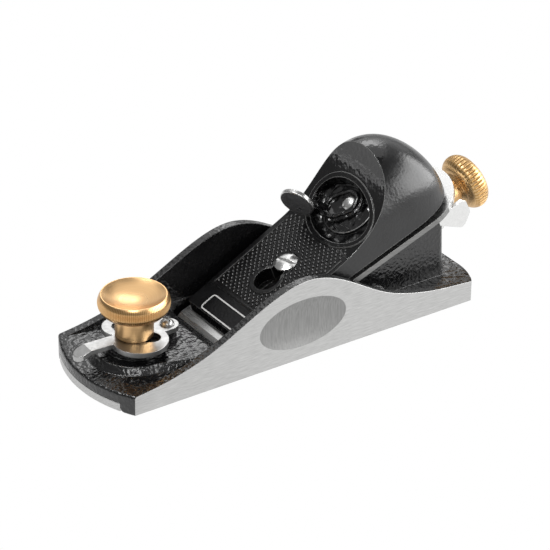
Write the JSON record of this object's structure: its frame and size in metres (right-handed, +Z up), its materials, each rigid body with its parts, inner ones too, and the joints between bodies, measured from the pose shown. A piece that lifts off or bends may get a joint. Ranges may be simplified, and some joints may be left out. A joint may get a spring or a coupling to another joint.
{
  "type": "hand plane",
  "caption": "Low-angle block plane with an adjustable mouth, a hooded lever cap locked by a cam, a brass front knob and a brass depth knob.",
  "frame": {"origin": "on the sole, midway between toe and heel, on the centre line", "axes": "+X from toe to heel, +Z up from the sole, +Y to the right of a user who faces the toe"},
  "size_m": [0.1787, 0.0522, 0.0637],
  "materials": {
    "cast_iron_body": "ground sides and sole, black paint inside",
    "ground_iron": "ground",
    "plain_steel": "turned",
    "plated_steel": "bright plating",
    "tool_steel": "fine ground",
    "turned_brass": "polished and knurled",
    "black_paint": "gloss black"
  },
  "bodies": {
    "body": {"body": "cast_iron_body", "eccentric_pivot_screw": "plated_steel", "pivot_washer": "plated_steel", "lever_cap_screw": "plated_steel", "lateral_pivot_pin": "plain_steel"},
    "toe": {"toe_plate": "ground_iron", "toe_stud": "plain_steel"},
    "front_knob": {"front_knob": "turned_brass"},
    "eccentric": {"eccentric_lever": "plated_steel"},
    "lever_cap": {"lever_cap": "black_paint", "pressure_spring": "tool_steel", "spring_rivet": "plain_steel"},
    "cam": {"cam_lever": "black_paint", "cam_rivet": "plated_steel"},
    "lateral": {"lateral_lever": "plated_steel"},
    "cutter": {"cutter": "tool_steel", "depth_carriage": "plain_steel"},
    "depth_knob": {"adjusting_knob": "turned_brass", "adjusting_screw": "plain_steel", "screw_collar": "plain_steel", "thrust_washer": "turned_brass"}
  },
  "joints": [
    {"name": "toe_slide", "type": "slide", "parent": "body", "child": "toe", "axis": [1, 0, 0], "range_m": [-0.0025, 0.0025]},
    {"name": "eccentric_swing", "type": "hinge", "parent": "body", "child": "eccentric", "pos_m": [-0.043, 0, 0.013], "axis": [0, 0, 1], "range_deg": [-25.2, 25.2]},
    {"name": "front_knob_turn", "type": "hinge", "parent": "toe", "child": "front_knob", "pos_m": [-0.0568, 0, 0.02], "axis": [0, 0, 1], "continuous": true},
    {"name": "lever_cap_slide", "type": "slide", "parent": "body", "child": "lever_cap", "axis": [0.9367, 0, 0.3502], "range_m": [0, 0.0093]},
    {"name": "cam_swing", "type": "hinge", "parent": "lever_cap", "child": "cam", "pos_m": [0.03827, 0, 0.03922], "axis": [-0.6884, 0, 0.7254], "range_deg": [0, 90]},
    {"name": "lateral_swing", "type": "hinge", "parent": "body", "child": "lateral", "pos_m": [0.03382, 0, 0.02311], "axis": [-0.3502, 0, 0.9367], "range_deg": [-1.2, 1.2]},
    {"name": "depth_slide", "type": "slide", "parent": "lateral", "child": "cutter", "axis": [0.9367, 0, 0.3502], "range_m": [-0.001, 0.003]},
    {"name": "depth_knob_turn", "type": "hinge", "parent": "lateral", "child": "depth_knob", "pos_m": [0.09097, 0, 0.03445], "axis": [0.9367, 0, 0.3502], "range_deg": [-363.6, 1090.8]}
  ],
  "couplings": [
    {"joint": "eccentric_swing", "follows": "toe_slide", "rad_per_m": -174.53},
    {"joint": "depth_knob_turn", "follows": "depth_slide", "rad_per_m": 6283.2}
  ]
}
